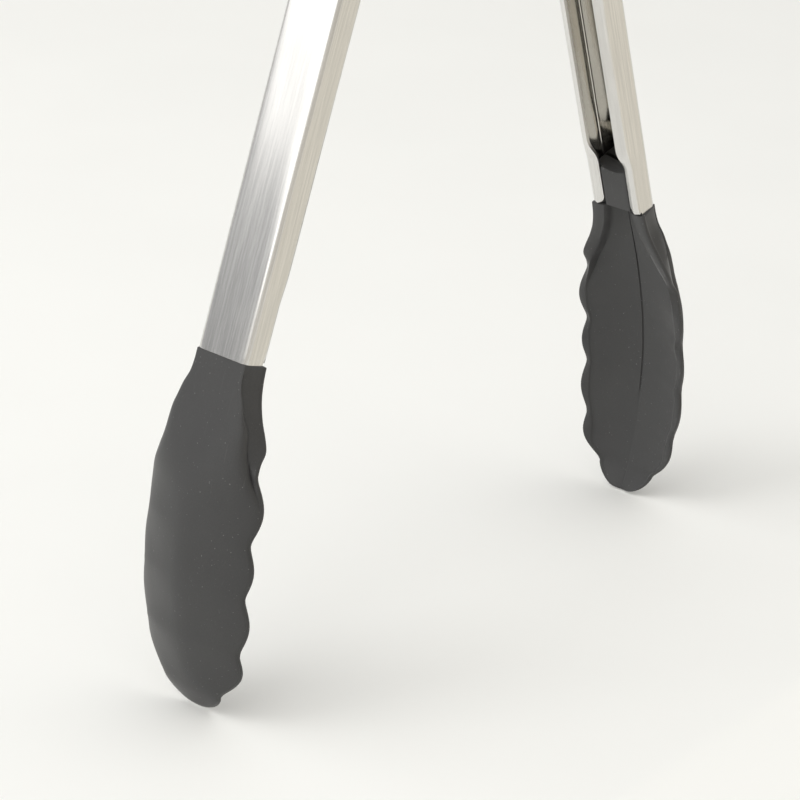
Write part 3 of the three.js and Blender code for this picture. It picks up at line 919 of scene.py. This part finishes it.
def light_world(tree):
    """An even pale surround, a little warmer from the front."""
    background = tree.nodes["Background"]
    place = tree.nodes.new("ShaderNodeTexCoord")
    split = tree.nodes.new("ShaderNodeSeparateXYZ")
    ramp = tree.nodes.new("ShaderNodeValToRGB")
    turn = tree.nodes.new("ShaderNodeMapRange")
    turn.inputs["From Min"].default_value = -0.9
    turn.inputs["From Max"].default_value = 0.4
    ramp.color_ramp.elements[0].color = (0.93, 0.88, 0.79, 1)
    ramp.color_ramp.elements[1].color = (1.0, 1.0, 0.99, 1)
    tree.links.new(place.outputs["Generated"], split.inputs["Vector"])
    tree.links.new(split.outputs["Y"], turn.inputs["Value"])
    tree.links.new(turn.outputs["Result"], ramp.inputs["Fac"])
    tree.links.new(ramp.outputs["Color"], background.inputs["Color"])
    background.inputs["Strength"].default_value = 0.7


def add_camera():
    """Aim the camera from its azimuth and elevation, then roll it about its own axis."""
    level = math.cos(CAMERA_ELEVATION)
    back = Vector((math.sin(CAMERA_AZIMUTH) * level, -math.cos(CAMERA_AZIMUTH) * level,
                   math.sin(CAMERA_ELEVATION)))
    right = Vector((0, 0, 1)).cross(back).normalized()
    turn = Matrix((right, back.cross(right), back)).transposed().to_4x4()
    camera = bpy.data.objects.new("camera", bpy.data.cameras.new("camera"))
    bpy.context.scene.collection.objects.link(camera)
    camera.data.lens = CAMERA_LENS
    camera.data.sensor_width = 36
    camera.matrix_world = (Matrix.Translation(CAMERA_AIM + back * CAMERA_DISTANCE) @ turn
                           @ Matrix.Rotation(CAMERA_ROLL, 4, "Z"))
    bpy.context.scene.camera = camera


pale_floor = stage_material("pale_floor", (0.88, 0.885, 0.87))
stage_plane("floor", (0, 0, -0.0003), (0, 0, 1), 12, 12, pale_floor)

LIT_PLACE = (0, 0, 0.12)
SOFT_WHITE = (1, 0.995, 0.98)
area_light("softbox_left", (-1.2, 0.64, 1.205), LIT_PLACE, 3.0, 1.8, 19, SOFT_WHITE)
key = area_light("key", (-1.2, 0.64, 1.25), LIT_PLACE, 0.7, 0.7, 4, SOFT_WHITE)
key.visible_glossy = False
area_light("softbox_above", (0.3, -0.3, 1.7), LIT_PLACE, 1.4, 1.4, 4, (1, 1, 1))

# Cards that show only in the steel's reflections: a grey one behind and a warm one on the floor.
for name, place, normal, size, middle, reach, stops in (
    ("grey_card", (-1.5, 1.3, 0.26), (0.74, -0.64, 0), (1.8, 0.54), (0, -0.27, 0), 0.54,
     [(0.3, (0.21, 0.212, 0.215)), (0.5, (0.29, 0.292, 0.295)), (0.95, (0.5, 0.5, 0.505))]),
    ("warm_card", (0.85, -1.0, 0.0004), (0, 0, 1), (1.8, 1.8), (-0.85, 1.0, 0), 1.3,
     [(0.05, (0.86, 0.85, 0.81)), (0.4, (0.83, 0.81, 0.75)), (0.9, (0.78, 0.74, 0.65))]),
):
    card = stage_plane(name, place, normal, *size, card_material(name, middle, reach, stops))
    card.visible_camera = False
    card.visible_diffuse = False
    card.visible_shadow = False

world = bpy.data.worlds.new("studio")
bpy.context.scene.world = world
world.use_nodes = True
light_world(world.node_tree)

add_camera()
bpy.context.scene.view_settings.view_transform = "Standard"
